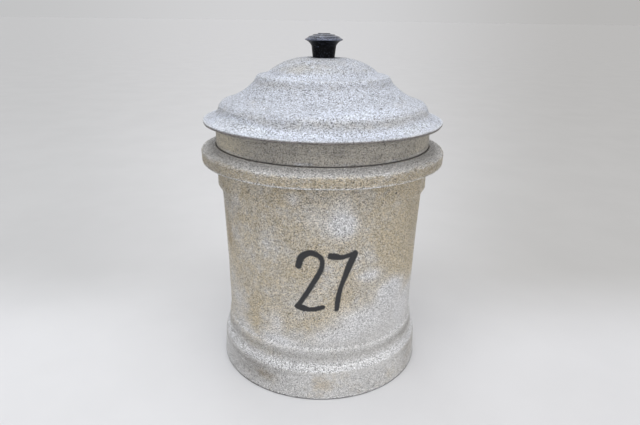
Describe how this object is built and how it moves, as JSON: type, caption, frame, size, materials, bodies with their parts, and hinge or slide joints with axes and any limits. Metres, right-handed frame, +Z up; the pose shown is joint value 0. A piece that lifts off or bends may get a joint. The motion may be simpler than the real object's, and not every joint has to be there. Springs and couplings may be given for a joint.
{
  "type": "apothecary jar",
  "caption": "Lidded apothecary jar of cast aluminium: tall barrel on a moulded foot, broad rim, stepped and domed lift-off lid on a turned collar, small black knob.",
  "frame": {"origin": "centre of the foot ring on the surface that the jar stands on", "axes": "+Z up along the axis of the jar, from the foot to the knob; -Y is the side that the picture shows"},
  "size_m": [0.1944, 0.1944, 0.2713],
  "materials": {
    "jar_casting": "sand-cast, grainy, with a tan-brown patina and grey worn patches",
    "lid_casting": "sand-cast, grainy and light grey, its collar turned smooth",
    "black_moulding": "black phenolic moulding, worn to a low gloss",
    "brass": "turned",
    "screw_steel": "dull zinc-plated",
    "washer_steel": "dull zinc-plated",
    "spring_steel": "dark spring steel"
  },
  "bodies": {
    "jar": {"jar_body": "jar_casting"},
    "lid": {"lid": "lid_casting", "knob": "black_moulding", "knob_insert": "brass", "knob_screw": "screw_steel", "flat_washer": "washer_steel", "spring_washer": "spring_steel"}
  },
  "joints": [
    {"name": "lid_lift", "type": "slide", "parent": "jar", "child": "lid", "axis": [0, 0, 1], "range_m": [0, 0.1]}
  ]
}
